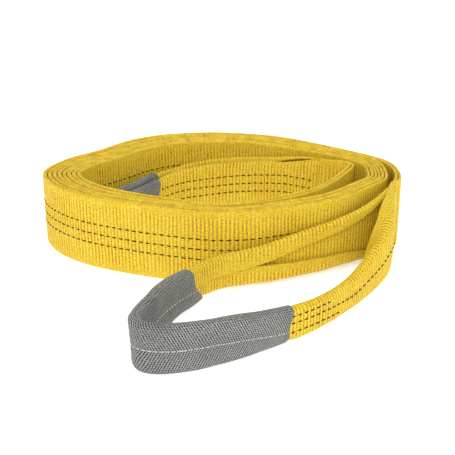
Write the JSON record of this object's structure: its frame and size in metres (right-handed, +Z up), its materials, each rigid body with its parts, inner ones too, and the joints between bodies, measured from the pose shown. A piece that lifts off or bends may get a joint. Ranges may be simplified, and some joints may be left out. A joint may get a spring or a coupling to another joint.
{
  "type": "flat webbing lifting sling with sleeved eyes",
  "caption": "Two-ply flat webbing lifting sling with a folded, sleeved eye at each end, wound into an oval storage coil that stands on its edge.",
  "frame": {"origin": "on the floor, under the middle of the bounding box of the whole coiled sling", "axes": "+Z up along the width of the webbing, +Y from the loose front eye towards the far side of the coil, +X towards the coil's end where the front eye starts"},
  "size_m": [0.4464, 0.5193, 0.09],
  "materials": {
    "webbing": "yellow woven polyester webbing with ribs across its width, satin",
    "sleeve": "grey herringbone woven wear sleeve",
    "marker_thread": "black polyester sewing thread",
    "seam_thread": "cream sewing thread",
    "label": "blank blue woven label"
  },
  "bodies": {
    "coil": {"body_outer_ply": "webbing", "body_inner_ply": "webbing", "body_outer_row_upper": "marker_thread", "body_outer_row_middle": "marker_thread", "body_outer_row_lower": "marker_thread", "body_inner_row_upper": "marker_thread", "body_inner_row_middle": "marker_thread", "body_inner_row_lower": "marker_thread"},
    "front_eye": {"front_eye_webbing": "webbing", "front_eye_sleeve": "sleeve", "front_eye_sleeve_seam_outer": "seam_thread", "front_eye_sleeve_seam_inner": "seam_thread", "front_eye_row_upper": "marker_thread", "front_eye_row_middle": "marker_thread", "front_eye_row_lower": "marker_thread"},
    "inner_eye": {"inner_eye_webbing": "webbing", "inner_eye_sleeve": "sleeve", "inner_eye_sleeve_seam_outer": "seam_thread", "inner_eye_sleeve_seam_inner": "seam_thread", "inner_eye_row_upper": "marker_thread", "inner_eye_row_middle": "marker_thread", "inner_eye_row_lower": "marker_thread"},
    "label": {"identity_label": "label", "identity_label_seam": "marker_thread"}
  },
  "joints": [
    {"name": "front_eye_swing", "type": "hinge", "parent": "coil", "child": "front_eye", "pos_m": [0.2097, 0.044, 0.045], "axis": [0, 0, 1], "range_deg": [0, 75]},
    {"name": "inner_eye_swing", "type": "hinge", "parent": "coil", "child": "inner_eye", "pos_m": [0.1254, 0.1342, 0.045], "axis": [0, 0, 1], "range_deg": [0, 6]},
    {"name": "label_flap", "type": "hinge", "parent": "coil", "child": "label", "pos_m": [0.14666, 0.19268, 0.045], "axis": [0, 0, -1], "range_deg": [0, 120]}
  ]
}
